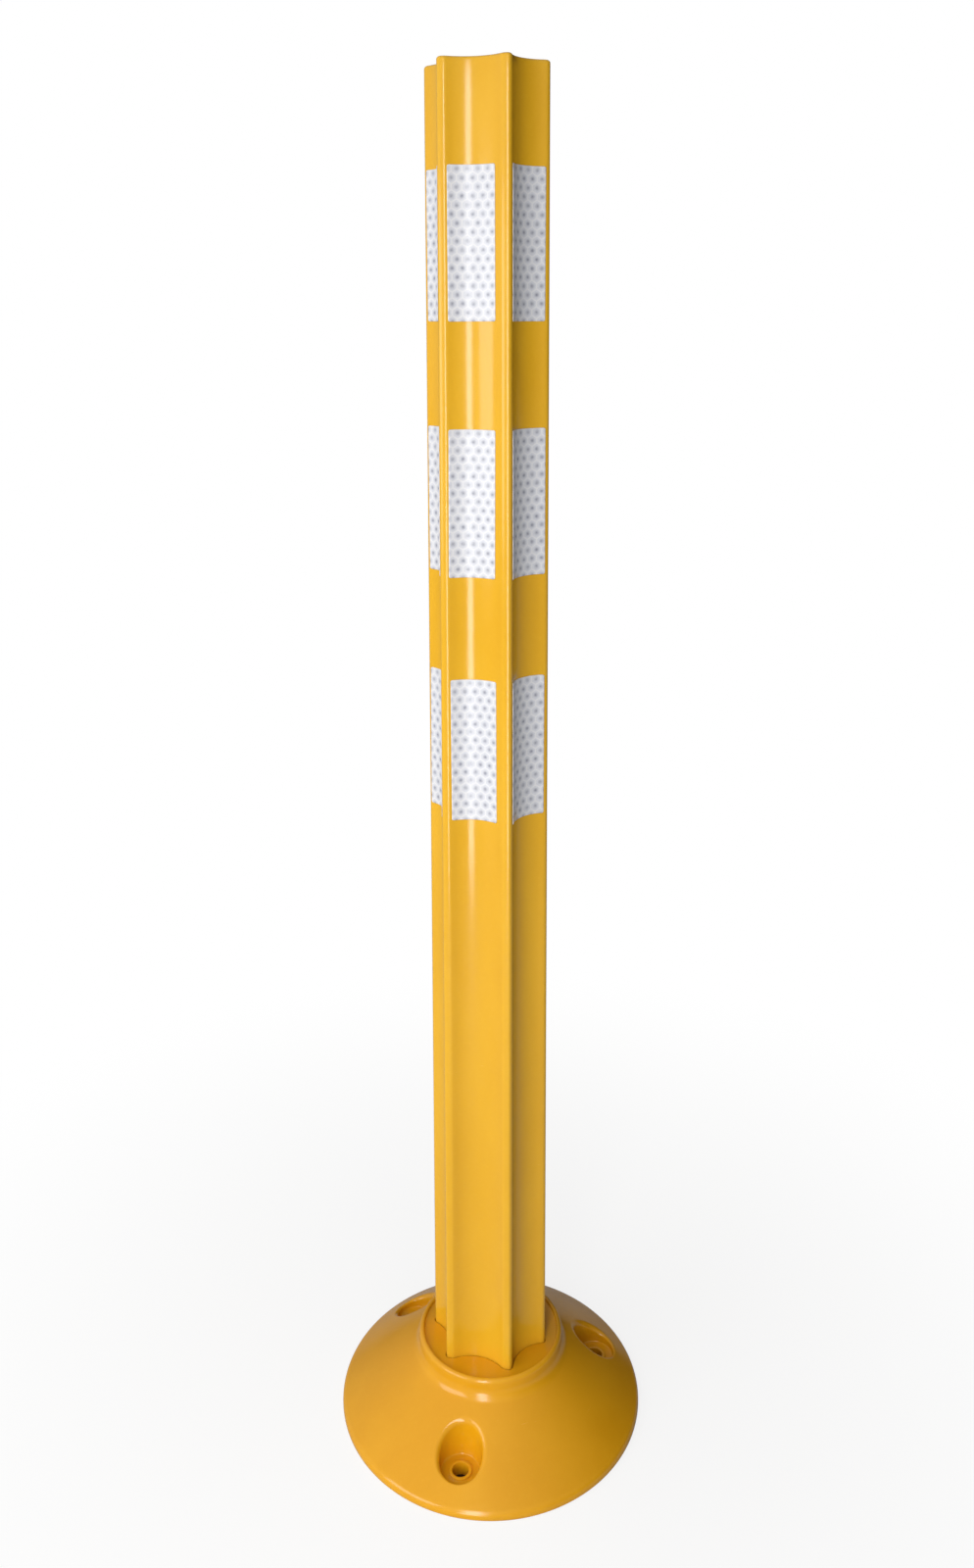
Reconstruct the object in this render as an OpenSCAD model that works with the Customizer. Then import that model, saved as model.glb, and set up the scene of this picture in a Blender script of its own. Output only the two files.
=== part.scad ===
// Surface-mounted delineator post: a hollow fluted post that stands in a round, domed base.
// Frame: millimetres, +Z up, origin at the centre of the base's underside. Face angles are
// measured about +Z from -Y, so the front face looks towards -Y and the next face to its right.
// The post has six concave faces between six blunt rims: three wide faces at 0, 120 and 240
// degrees, each over one anchor pocket of the base, and three narrow faces between them.

/* [Overall] */
// Diameter of the round base
base_d = 200; // [196:1:250]
// Height of the post's top above the ground
total_h = 870; // [840:1:1200]
// Diameter of the circle through the post's six rims
post_d = 77; // [64:0.5:78]

/* [Post section] */
// Wall thickness of the hollow post
post_wall = 3.5; // [2.5:0.1:4.5]
// Half of the angle that a wide face takes up, seen from the post's axis
wide_half_angle = 33.4; // [31:0.1:34]
// Flat land on each side of a wide face's flute
wide_land = 4.4; // [3:0.1:4.6]
// Depth of a wide face's flute
wide_flute_depth = 6; // [4:0.1:7]
// Flat land on each side of a narrow face's flute
narrow_land = 2.6; // [2:0.1:3]
// Depth of a narrow face's flute
narrow_flute_depth = 5.7; // [4:0.1:6.5]
// How far each rim's sharp corner is cut back
rim_blunt = 0.4; // [0.2:0.05:0.8]

/* [Bend at the foot] */
// Height of the flexible length of the post, above the hub floor
flex_length = 138; // [110:1:160]

/* [Reflective strips] */
// Width of a strip
strip_w = 28; // [20:0.5:28]
// Height of a strip
strip_h = 89; // [60:1:120]
// Thickness of the sheeting
strip_t = 0.5; // [0.3:0.05:1]
// Adhesive layer between the sheeting and the post
strip_gap = 0.1; // [0.05:0.05:0.3]
// Distance from the post's top to the upper band's top edge
strip_top_drop = 60; // [30:1:90]
// Distance from one band to the next
strip_pitch = 152; // [130:1:170]

/* [Top cap] */
// Thickness of the cap's plate
cap_plate_t = 4; // [3:0.5:6]
// Depth of the cap, plate and skirt together
cap_depth = 15; // [10:0.5:25]
// Wall of the cap's skirt
cap_wall = 2.5; // [2:0.1:3.5]
// Gap between the cap and the inside of the post
cap_gap = 0.2; // [0.1:0.05:0.4]
// How far the cap sits below the post's top
cap_recess = 1; // [0.5:0.1:3]

/* [Base dome] */
// Height at which the dome's curve would meet the base's edge, before that edge is rounded
rim_h = 4; // [3.5:0.1:5]
// Rounding of the base's outer edge
rim_round = 4.5; // [3:0.1:5]
// How far below the hub floor the dome's curve would meet the collar
dome_drop = 9; // [8:0.1:12]
// Radius of the dome's long convex curve
dome_r = 620; // [400:10:900]
// Thickness of the dome's shell
dome_wall = 4; // [3:0.1:5]
// Width of the flat ring that the dome stands on
rim_foot_w = 6; // [5:0.1:8]
// Number of ribs under the dome
rib_count = 12; // [6:6:12]
// Thickness of a rib
rib_t = 3; // [2:0.1:4]

/* [Hub] */
// Height of the hub floor that the visible post rises from
hub_floor_z = 47; // [46:0.5:52]
// Thickness of the hub floor
hub_floor_t = 4; // [3:0.1:5]
// Height of the collar's lip above the hub floor
collar_lip_h = 2; // [1:0.1:4]
// Gap between the post's rims and the collar
collar_gap = 6.2; // [5:0.1:8]
// Thickness of the collar
collar_t = 3.3; // [3:0.1:5]
// Rounding of the collar's outer edge
collar_round = 2.4; // [1.5:0.1:2.6]
// Radius of the hollow curve from the collar to the dome
collar_fillet_r = 9; // [7:0.5:10]
// Thickness of the hub skirt that reaches down to the ground
skirt_t = 3.5; // [2.5:0.1:4]

/* [Anchors] */
// Distance from an anchor hole's centre to the base's edge
anchor_edge = 25; // [24:0.5:26]
// Diameter of an anchor hole
anchor_hole_d = 10.5; // [8:0.5:12]
// Height of an anchor pocket's seat
anchor_seat_z = 8; // [6:0.5:10]
// Diameter of an anchor pocket at its seat
anchor_seat_d = 25; // [22:0.5:25]
// Draft of an anchor pocket's wall, in degrees
anchor_draft = 5.5; // [3:0.5:6]
// Outer diameter of the raised ring around an anchor hole
anchor_ring_d = 14.5; // [13:0.5:17]
// Height of the raised ring
anchor_ring_h = 1; // [0.5:0.1:2]
// Least wall between an anchor pocket and the hollow under the dome
anchor_wall = 2.2; // [1.8:0.1:2.4]

/* [Foot and its fastening] */
// How far the foot flange stands out from the post
flange_out = 4; // [3:0.1:4.4]
// Thickness of the foot flange
flange_t = 8; // [6:0.5:9]
// Gap between the foot flange's rims and the hub skirt
flange_gap = 2.4; // [2:0.1:3]
// Running gap between the post and the hub floor's opening
foot_gap = 0.4; // [0.2:0.1:0.5]
// Thickness of the retaining plate
plate_t = 4; // [3:0.5:5]
// Gap between the retaining plate and the hub skirt
plate_gap = 0.5; // [0.3:0.1:1]
// Diameter of the drain hole in the retaining plate
drain_d = 16; // [10:1:24]
// Distance from a plate screw's centre to the hub skirt
screw_edge = 5.4; // [5.2:0.1:5.5]
// Diameter of a screw's shank
screw_d = 4.8; // [4:0.1:5]
// Diameter of a screw's head
screw_head_d = 9.2; // [8:0.1:9.5]
// Height of a screw's head
screw_head_h = 3; // [2.5:0.1:3.5]
// Diameter of a screw boss under the hub floor
screw_boss_d = 11.5; // [11.2:0.1:12]
// How deep a screw stands in its boss
screw_grip = 8.5; // [7:0.1:8.5]
// Radial gap around a screw in its boss
screw_gap = 0.1; // [0.05:0.05:0.2]
// Radial gap around a screw in the retaining plate
plate_hole_gap = 0.4; // [0.2:0.1:0.6]
// Depth of the cross recess in a screw's head
recess_depth = 1.8; // [1:0.1:2]
// Width of the cross recess
recess_w = 1.4; // [1:0.1:2]
// Length of the cross recess
recess_l = 5; // [4:0.1:6]

/* [Hidden] */
$fn = 96;
cut = 1;
arc_steps = 8;
fillet_steps = 6;

face_step = 60;
wide_angles = [0, 120, 240];
narrow_angles = [60, 180, 300];

post_r = post_d / 2;
narrow_half_angle = face_step - wide_half_angle;
wide_plane = post_r * cos(wide_half_angle);
narrow_plane = post_r * cos(narrow_half_angle);
wide_chord = post_r * sin(wide_half_angle) - wide_land;
narrow_chord = post_r * sin(narrow_half_angle) - narrow_land;
wide_flute_r = (pow(wide_chord, 2) + pow(wide_flute_depth, 2)) / (2 * wide_flute_depth);
narrow_flute_r = (pow(narrow_chord, 2) + pow(narrow_flute_depth, 2)) / (2 * narrow_flute_depth);
wide_flute_at = wide_plane - wide_flute_depth + wide_flute_r;
narrow_flute_at = narrow_plane - narrow_flute_depth + narrow_flute_r;

base_r = base_d / 2;
flex_top_z = hub_floor_z + flex_length;
collar_in_r = post_r + collar_gap;
collar_out_r = collar_in_r + collar_t;
collar_top_z = hub_floor_z + collar_lip_h;
dome_low = [base_r, rim_h];
dome_high = [collar_out_r, hub_floor_z - dome_drop];
dome_chord = norm(dome_high - dome_low);
dome_chord_way = (dome_high - dome_low) / dome_chord;
dome_centre = (dome_low + dome_high) / 2
  - sqrt(pow(dome_r, 2) - pow(dome_chord / 2, 2)) * [dome_chord_way[1], -dome_chord_way[0]];
rim_x = base_r - rim_round;
rim_z = dome_centre[1] + sqrt(pow(dome_r - rim_round, 2) - pow(rim_x - dome_centre[0], 2));
rim_end_a = atan2(rim_z - dome_centre[1], rim_x - dome_centre[0]);
fillet_x = collar_out_r + collar_fillet_r;
fillet_reach = dome_r + collar_fillet_r;
fillet_z = dome_centre[1] + sqrt(pow(fillet_reach, 2) - pow(fillet_x - dome_centre[0], 2));
fillet_end_a = atan2(dome_centre[1] - fillet_z, dome_centre[0] - fillet_x);
dome_top_a = fillet_end_a + 180;

well_r = post_r + flange_out + flange_gap;
skirt_r = well_r + skirt_t;
hub_under_z = hub_floor_z - hub_floor_t;
flange_z = hub_under_z - flange_t;
plate_z = flange_z - plate_t;

anchor_at = base_r - anchor_edge;
anchor_angles = wide_angles;
pocket_h = hub_floor_z - anchor_seat_z;
pocket_mouth_d = anchor_seat_d + 2 * pocket_h * tan(anchor_draft);
pillar_d = pocket_mouth_d + 2 * anchor_wall;

screw_angles = concat(wide_angles, narrow_angles);
screw_circle_r = well_r - screw_edge;
screw_tip_gap = 0.5;
head_z = plate_z - screw_head_h;
boss_hole_depth = screw_grip + screw_tip_gap;

strip_tops = [for (i = [0:2]) total_h - strip_top_drop - i * strip_pitch];

// Points of an arc about a centre, from one angle to another, both ends included.
function arc(centre, r, from, to, steps) =
  [for (i = [0:steps]) centre + r * [cos(from + (to - from) * i / steps), sin(from + (to - from) * i / steps)]];

// Places its children on the face at the given angle.
module at_face(angle) {
  rotate([0, 0, angle]) children();
}

// The six flat face planes, moved inwards by inset.
module face_planes(inset) {
  intersection() {
    rotate(-30) circle(r = 2 * (wide_plane - inset), $fn = 3);
    rotate(30) circle(r = 2 * (narrow_plane - inset), $fn = 3);
  }
}

// The six flutes, each grown by inset.
module flutes(inset) {
  for (a = wide_angles) at_face(a) translate([0, -wide_flute_at]) circle(r = wide_flute_r + inset);
  for (a = narrow_angles) at_face(a) translate([0, -narrow_flute_at]) circle(r = narrow_flute_r + inset);
}

// The post's outline, moved outwards by grow, with its rims cut back.
module post_outline(grow) {
  difference() {
    intersection() {
      face_planes(-grow);
      circle(r = post_r - rim_blunt + grow);
    }
    flutes(-grow);
  }
}

// The outline of what fits inside the post, moved inwards by inset from the post's outside.
module inner_outline(inset) {
  difference() {
    face_planes(inset);
    flutes(inset);
  }
}

// A length of the hollow post.
module post_tube(z, height) {
  translate([0, 0, z]) linear_extrude(height) difference() {
    post_outline(0);
    inner_outline(post_wall);
  }
}

// The base's solid of revolution: rim, dome, hollow curve, collar and hub, with the well below.
module dome_body() {
  lip_centre = [collar_out_r - collar_round, collar_top_z - collar_round];
  rotate_extrude() polygon(concat(
    [[well_r, 0], [base_r, 0]],
    arc([rim_x, rim_z], rim_round, 0, rim_end_a, fillet_steps),
    arc(dome_centre, dome_r, rim_end_a, dome_top_a, arc_steps),
    arc([fillet_x, fillet_z], collar_fillet_r, fillet_end_a, -180, fillet_steps),
    arc(lip_centre, collar_round, 0, 90, fillet_steps),
    [[collar_in_r, collar_top_z], [collar_in_r, hub_floor_z], [0, hub_floor_z]],
    [[0, hub_under_z], [well_r, hub_under_z]]
  ));
}

// The ring-shaped hollow under the dome, with the ribs and the anchor pillars left standing.
module dome_hollow() {
  inner_r = dome_r - dome_wall;
  hollow_out_r = base_r - rim_foot_w;
  out_a = acos((hollow_out_r - dome_centre[0]) / inner_r);
  in_a = acos((skirt_r - dome_centre[0]) / inner_r);
  difference() {
    rotate_extrude() polygon(concat(
      [[skirt_r, -cut], [hollow_out_r, -cut]],
      arc(dome_centre, inner_r, out_a, in_a, arc_steps)
    ));
    for (i = [0:rib_count - 1]) at_face(i * 360 / rib_count)
      translate([-rib_t / 2, -base_r, -2 * cut]) cube([rib_t, base_r, collar_top_z]);
    for (a = anchor_angles) at_face(a)
      translate([0, -anchor_at, -2 * cut]) cylinder(d = pillar_d, h = collar_top_z);
  }
}

module anchor_pocket() {
  translate([0, -anchor_at, anchor_seat_z]) cylinder(d1 = anchor_seat_d, d2 = pocket_mouth_d, h = pocket_h);
}

module anchor_ring() {
  translate([0, -anchor_at, anchor_seat_z - cut]) cylinder(d = anchor_ring_d, h = anchor_ring_h + cut);
}

module anchor_hole() {
  translate([0, -anchor_at, -cut]) cylinder(d = anchor_hole_d, h = anchor_seat_z + anchor_ring_h + 2 * cut);
}

module screw_boss() {
  translate([0, -screw_circle_r, flange_z]) cylinder(d = screw_boss_d, h = flange_t + cut);
}

module screw_pilot() {
  translate([0, -screw_circle_r, flange_z - cut])
    cylinder(d = screw_d + 2 * screw_gap, h = boss_hole_depth + cut);
}

module base_shell() {
  color([0.87, 0.6, 0.1]) difference() {
    union() {
      difference() {
        dome_body();
        dome_hollow();
        for (a = anchor_angles) at_face(a) anchor_pocket();
      }
      for (a = anchor_angles) at_face(a) anchor_ring();
      for (a = screw_angles) at_face(a) screw_boss();
    }
    for (a = anchor_angles) at_face(a) anchor_hole();
    for (a = screw_angles) at_face(a) screw_pilot();
    translate([0, 0, hub_under_z - cut]) linear_extrude(hub_floor_t + 2 * cut) post_outline(foot_gap);
  }
}

module retaining_plate() {
  color([0.16, 0.16, 0.17]) translate([0, 0, plate_z]) difference() {
    cylinder(r = well_r - plate_gap, h = plate_t);
    translate([0, 0, -cut]) cylinder(d = drain_d, h = plate_t + 2 * cut);
    for (a = screw_angles) at_face(a)
      translate([0, -screw_circle_r, -cut]) cylinder(d = screw_d + 2 * plate_hole_gap, h = plate_t + 2 * cut);
  }
}

// A pan-head screw, head down, with a cross recess.
module plate_screw() {
  translate([0, 0, head_z]) difference() {
    union() {
      cylinder(d = screw_head_d, h = screw_head_h);
      cylinder(d = screw_d, h = screw_head_h + plate_t + screw_grip);
    }
    for (turn = [0, 90]) rotate([0, 0, turn])
      translate([-recess_l / 2, -recess_w / 2, -cut]) cube([recess_l, recess_w, recess_depth + cut]);
  }
}

module plate_screws() {
  color([0.72, 0.72, 0.74]) for (a = screw_angles) at_face(a) translate([0, -screw_circle_r, 0]) plate_screw();
}

// The post's foot: its flange under the hub floor and the stub that passes through the floor.
module post_foot() {
  color([0.93, 0.7, 0.18]) translate([0, 0, flange_z]) difference() {
    union() {
      linear_extrude(flange_t) post_outline(flange_out);
      linear_extrude(hub_floor_z - flange_z) post_outline(0);
    }
    translate([0, 0, -cut]) linear_extrude(hub_floor_z - flange_z + 2 * cut) inner_outline(post_wall);
  }
}

module post_flex_section() {
  color([0.95, 0.74, 0.2]) post_tube(hub_floor_z, flex_length);
}

module post_upper_section() {
  color([0.93, 0.7, 0.18]) post_tube(flex_top_z, total_h - flex_top_z);
}

// The plug that closes the top: a plate with a skirt, both following the inside of the post.
module top_cap() {
  cap_inset = post_wall + cap_gap;
  color([0.9, 0.66, 0.16]) translate([0, 0, total_h - cap_recess - cap_depth]) difference() {
    linear_extrude(cap_depth) inner_outline(cap_inset);
    translate([0, 0, -cut]) linear_extrude(cap_depth - cap_plate_t + cut) inner_outline(cap_inset + cap_wall);
  }
}

// A strip of sheeting that lies in the flute of one face.
module strip(angle, flute_r, flute_at, top_z) {
  color([0.92, 0.93, 0.96]) at_face(angle) translate([0, -flute_at, top_z - strip_h])
    linear_extrude(strip_h) intersection() {
      difference() {
        circle(r = flute_r - strip_gap);
        circle(r = flute_r - strip_gap - strip_t);
      }
      translate([-strip_w / 2, 0]) square([strip_w, flute_r]);
    }
}

module wide_strip(angle, band) {
  strip(angle, wide_flute_r, wide_flute_at, strip_tops[band]);
}

module narrow_strip(angle, band) {
  strip(angle, narrow_flute_r, narrow_flute_at, strip_tops[band]);
}

base_shell();
retaining_plate();
plate_screws();
post_foot();
post_flex_section();
post_upper_section();
top_cap();
wide_strip(0, 0);  // front_strip_upper
wide_strip(0, 1);  // front_strip_middle
wide_strip(0, 2);  // front_strip_lower
narrow_strip(60, 0);  // front_right_strip_upper
narrow_strip(60, 1);  // front_right_strip_middle
narrow_strip(60, 2);  // front_right_strip_lower
wide_strip(120, 0);  // rear_right_strip_upper
wide_strip(120, 1);  // rear_right_strip_middle
wide_strip(120, 2);  // rear_right_strip_lower
narrow_strip(180, 0);  // rear_strip_upper
narrow_strip(180, 1);  // rear_strip_middle
narrow_strip(180, 2);  // rear_strip_lower
wide_strip(240, 0);  // rear_left_strip_upper
wide_strip(240, 1);  // rear_left_strip_middle
wide_strip(240, 2);  // rear_left_strip_lower
narrow_strip(300, 0);  // front_left_strip_upper
narrow_strip(300, 1);  // front_left_strip_middle
narrow_strip(300, 2);  // front_left_strip_lower
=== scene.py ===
import math

import bmesh
import bpy
import numpy as np
from mathutils import Matrix, Vector
from mathutils.geometry import delaunay_2d_cdt


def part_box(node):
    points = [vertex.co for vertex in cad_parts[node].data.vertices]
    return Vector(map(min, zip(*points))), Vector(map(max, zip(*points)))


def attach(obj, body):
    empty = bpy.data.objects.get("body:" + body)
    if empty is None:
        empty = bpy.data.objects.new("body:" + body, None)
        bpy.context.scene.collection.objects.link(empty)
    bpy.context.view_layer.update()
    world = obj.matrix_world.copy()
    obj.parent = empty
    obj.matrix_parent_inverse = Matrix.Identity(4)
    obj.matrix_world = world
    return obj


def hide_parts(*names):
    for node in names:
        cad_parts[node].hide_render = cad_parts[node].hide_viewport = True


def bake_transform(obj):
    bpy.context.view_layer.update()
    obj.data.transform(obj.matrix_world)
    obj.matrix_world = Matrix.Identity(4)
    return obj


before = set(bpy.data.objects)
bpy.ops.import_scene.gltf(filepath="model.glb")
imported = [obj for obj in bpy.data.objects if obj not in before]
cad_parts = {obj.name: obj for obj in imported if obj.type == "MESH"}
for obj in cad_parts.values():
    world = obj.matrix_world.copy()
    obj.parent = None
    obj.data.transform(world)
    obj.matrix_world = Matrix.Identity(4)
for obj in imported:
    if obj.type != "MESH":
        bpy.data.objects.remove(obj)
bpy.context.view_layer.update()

MM = 0.001
RNG = np.random.default_rng(23)

# ---------------------------------------------------------------- sizes, in millimetres

def node_box(name):
    low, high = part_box(name)
    return np.array(low) / MM, np.array(high) / MM


BASE_R = node_box("base_shell")[1][0]
COLLAR_TOP = node_box("base_shell")[1][2]
FOOT_LOW = node_box("post_foot")[0][2]
HUB_FLOOR = node_box("post_foot")[1][2]
FLEX_TOP = node_box("post_flex_section")[1][2]
POST_TOP = node_box("post_upper_section")[1][2]
CAP_LOW, CAP_TOP = (node_box("top_cap")[i][2] for i in (0, 1))

POST_R = 38.5
POST_WALL = 3.5
WIDE_HALF = math.radians(33.4)
NARROW_HALF = math.radians(60) - WIDE_HALF
WIDE_LAND, WIDE_DEPTH = 4.4, 6.0
NARROW_LAND, NARROW_DEPTH = 2.6, 5.7
FLANGE_OUT = 4.0
FLANGE_T = 8.0
FOOT_GAP = 0.4
EDGE_SOFT = 1.0
TOP_EDGE_R = 2.0
TOP_INNER_R = 0.6
FLANGE_EDGE_R = 0.8
BEND_RINGS = 51
UPPER_RINGS = 36

RIM_H = 4.0
RIM_ROUND = 4.5
DOME_R = 620.0
DOME_DROP = 9.0
DOME_WALL = 4.0
COLLAR_GAP = 6.2
COLLAR_T = 3.3
COLLAR_IN = POST_R + COLLAR_GAP
COLLAR_OUT = COLLAR_IN + COLLAR_T
COLLAR_ROUND = 2.4
COLLAR_IN_ROUND = 0.9
FILLET_R = 9.0
HUB_FLOOR_T = 4.0
HUB_UNDER = HUB_FLOOR - HUB_FLOOR_T
FLANGE_GAP = 2.4
WELL_R = POST_R + FLANGE_OUT + FLANGE_GAP
SKIRT_T = 3.5
SKIRT_R = WELL_R + SKIRT_T
RIM_FOOT_W = 6.0
HOLLOW_OUT_R = BASE_R - RIM_FOOT_W

ANCHOR_EDGE = 25.0
ANCHOR_AT = BASE_R - ANCHOR_EDGE
SEAT_Z = 8.0
SEAT_R = 12.5
DRAFT = math.tan(math.radians(5.5))
HOLE_R = 5.25
RING_R = 7.25
RING_H = 1.0
PILLAR_WALL = 2.2
PILLAR_R = SEAT_R + (HUB_FLOOR - SEAT_Z) * DRAFT + PILLAR_WALL
RIB_T = 3.0
RIB_COUNT = 12
CELL_EDGE_R = 0.35
CELL_CEILING_R = 0.5

STRIP_W = 28.0
STRIP_T = 0.5
STRIP_GAP = 0.1
STRIP_CORNER_R = 1.2

TURN = 2 * math.pi


class Face:
    """One kind of post face: a flat land at each side and a round flute between them."""

    def __init__(self, half_angle, land, depth):
        self.plane = POST_R * math.cos(half_angle)
        self.chord = POST_R * math.sin(half_angle) - land
        self.flute_r = (self.chord ** 2 + depth ** 2) / (2 * depth)
        self.flute_at = self.plane - depth + self.flute_r


WIDE = Face(WIDE_HALF, WIDE_LAND, WIDE_DEPTH)
NARROW = Face(NARROW_HALF, NARROW_LAND, NARROW_DEPTH)
FACES = [(WIDE if i % 2 == 0 else NARROW, math.radians(60 * i)) for i in range(6)]

# ---------------------------------------------------------------- the post's outline

def soften(points, sigma, count=6144):
    """A closed line, resampled evenly and rounded with a Gaussian of sigma millimetres."""
    closed = np.vstack([points, points[:1]])
    along = np.concatenate([[0], np.cumsum(np.linalg.norm(np.diff(closed, axis=0), axis=1))])
    at = np.linspace(0, along[-1], count, endpoint=False)
    even = np.stack([np.interp(at, along, closed[:, i]) for i in range(2)], 1)
    if sigma <= 0:
        return even
    wave = np.fft.rfftfreq(count, along[-1] / count)
    gain = np.exp(-2 * (math.pi * wave * sigma) ** 2)[:, None]
    return np.fft.irfft(np.fft.rfft(even, axis=0) * gain, count, axis=0)


def sharp_outline(inset, count=7200):
    """The six faces moved inwards by inset, before their edges are rounded."""
    angle = np.linspace(0, TURN, count, endpoint=False)
    radius = np.full(count, 1e6)
    for face, turn in FACES:
        off = (angle - turn + math.pi) % TURN - math.pi
        facing = np.cos(off) > 0.3
        flat = (face.plane - inset) / np.where(facing, np.cos(off), 1)
        radius = np.where(facing, np.minimum(radius, flat), radius)
        reach = (face.flute_r + inset) ** 2 - (face.flute_at * np.sin(off)) ** 2
        near = face.flute_at * np.cos(off) - np.sqrt(np.maximum(reach, 0))
        radius = np.where(facing & (reach > 0), np.minimum(radius, near), radius)
    return np.stack([radius * np.sin(angle), -radius * np.cos(angle)], 1)


def angle_of(points):
    return np.arctan2(points[:, 0], -points[:, 1]) % TURN


def at_angles(points, angles):
    """The points at the given angles on a closed line round the axis."""
    found = angle_of(points)
    order = np.argsort(found)
    found = found[order]
    line = points[order]
    return np.stack([np.interp(angles, found, line[:, i], period=TURN) for i in range(2)], 1)


def outline_angles():
    """Angles for the outline's points: close together on its rounded edges and wide apart in its flutes."""
    longest, sharpest = 2.4, math.radians(7)
    line = soften(sharp_outline(0), EDGE_SOFT)
    step = np.roll(line, -1, axis=0) - line
    length = np.linalg.norm(step, axis=1)
    heading = np.unwrap(np.arctan2(step[:, 1], step[:, 0]))
    bend = np.abs(np.diff(np.append(heading, heading[0] + TURN)))
    weight = length / longest + bend / sharpest
    total = np.concatenate([[0], np.cumsum(weight)])
    count = 6 * int(round(total[-1] / 6))
    places = np.arange(len(line))
    at = np.interp(np.linspace(0, total[-1], count, endpoint=False), total[:-1], places)
    return np.sort(np.interp(at, places, np.unwrap(angle_of(line))) % TURN)


ANGLES = outline_angles()


def outline(inset, sigma=EDGE_SOFT):
    return at_angles(soften(sharp_outline(inset), sigma), ANGLES)

# ---------------------------------------------------------------- building meshes

def clean(mesh, merge=None):
    """Joins points that lie within merge millimetres and turns every face outwards."""
    work = bmesh.new()
    work.from_mesh(mesh)
    if merge:
        bmesh.ops.remove_doubles(work, verts=work.verts, dist=merge * MM)
    bmesh.ops.recalc_face_normals(work, faces=work.faces)
    work.to_mesh(mesh)
    work.free()


def place(name, mesh, sharp):
    mesh.shade_smooth()
    mesh.set_sharp_from_angle(angle=math.radians(sharp))
    piece = bpy.data.objects.new(name, mesh)
    bpy.context.scene.collection.objects.link(piece)
    return piece


class Shell:
    """Collects points, in millimetres, and faces, then makes one mesh object."""

    def __init__(self):
        self.points = []
        self.faces = []
        self.wear = []

    def add(self, points, wear=0.0):
        start = len(self.points)
        self.points.extend(np.asarray(points, float).tolist())
        self.wear.extend(np.broadcast_to(wear, len(points)).tolist())
        return np.arange(start, len(self.points))

    def bridge(self, a, b, closed=True):
        last = len(a) if closed else len(a) - 1
        for i in range(last):
            j = (i + 1) % len(a)
            self.faces.append((int(a[i]), int(a[j]), int(b[j]), int(b[i])))

    def fan(self, ring, tip):
        """Closes a line with triangles that meet in one point."""
        for i in range(len(ring)):
            self.faces.append((int(ring[i]), int(ring[(i + 1) % len(ring)]), int(tip)))

    def by_angle(self, line):
        """A closed line's points in order round the axis, and their angles."""
        found = angle_of(np.array([self.points[i] for i in line]))
        return line[np.argsort(found)], np.sort(found)

    def zip(self, a, b):
        """Joins two closed lines round the axis that have different numbers of points."""
        a, turn_a = self.by_angle(a)
        b, turn_b = self.by_angle(b)
        i = j = 0
        while i < len(a) or j < len(b):
            next_a = turn_a[(i + 1) % len(a)] + (TURN if i + 1 >= len(a) else 0)
            next_b = turn_b[(j + 1) % len(b)] + (TURN if j + 1 >= len(b) else 0)
            here_a, here_b = int(a[i % len(a)]), int(b[j % len(b)])
            if j >= len(b) or (i < len(a) and next_a <= next_b):
                self.faces.append((here_a, int(a[(i + 1) % len(a)]), here_b))
                i += 1
            else:
                self.faces.append((here_a, int(b[(j + 1) % len(b)]), here_b))
                j += 1

    def mesh(self, name):
        mesh = bpy.data.meshes.new(name)
        mesh.from_pydata((np.array(self.points) * MM).tolist(), [], self.faces)
        return mesh

    def make(self, name, sharp):
        mesh = self.mesh(name)
        layer = mesh.attributes.new("wear", "FLOAT", "POINT")
        layer.data.foreach_set("value", np.array(self.wear, np.float32))
        clean(mesh, merge=0.004)
        return place(name, mesh, sharp)


def arc(centre, radius, start, end, steps):
    """Points of an arc, in degrees, both ends included."""
    turn = np.radians(np.linspace(start, end, steps + 1))
    return np.stack([centre[0] + radius * np.cos(turn), centre[1] + radius * np.sin(turn)], 1)


def flat(line, z):
    return np.column_stack([line, np.full(len(line), z)])


def circle(radius, z, angles):
    return np.column_stack([radius * np.sin(angles), -radius * np.cos(angles), np.full(len(angles), z)])

# ---------------------------------------------------------------- the post

def post_levels():
    """The wall's section as (inset, height, wear): up the outside, over the top edge and down the inside."""
    flange_top = FOOT_LOW + FLANGE_T
    edge_r, inner_r, fillet = FLANGE_EDGE_R, TOP_INNER_R, 0.35
    rows = [(edge_r * 0.3 - FLANGE_OUT + 0.5, FOOT_LOW, 0), (-FLANGE_OUT, FOOT_LOW + edge_r, 0)]
    rows += [(-FLANGE_OUT, flange_top - edge_r, 0), (edge_r - FLANGE_OUT, flange_top, 0)]
    rows += [(-fillet, flange_top, 0), (0, flange_top + fillet, 0)]
    bend_levels = np.linspace(HUB_FLOOR, FLEX_TOP, BEND_RINGS)
    upper_levels = np.linspace(FLEX_TOP, POST_TOP - TOP_EDGE_R, UPPER_RINGS)[1:]
    rows += [(0, z, 0) for z in bend_levels]
    rows += [(0, z, 0) for z in upper_levels]
    for turn in np.radians(np.linspace(15, 90, 6)):
        inset = TOP_EDGE_R * (1 - math.cos(turn))
        rows.append((inset, POST_TOP - TOP_EDGE_R + TOP_EDGE_R * math.sin(turn), math.sin(turn)))
    for turn in np.radians(np.linspace(0, 90, 4)):
        inset = POST_WALL - inner_r + inner_r * math.sin(turn)
        rows.append((inset, POST_TOP - inner_r + inner_r * math.cos(turn), 0.6))
    rows += [(POST_WALL, z, 0) for z in upper_levels[::-1][1:]]
    rows += [(POST_WALL, z, 0) for z in bend_levels[::-1]]
    rows += [(POST_WALL, FOOT_LOW + 0.4, 0), (POST_WALL - 0.4, FOOT_LOW, 0)]
    return rows


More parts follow.
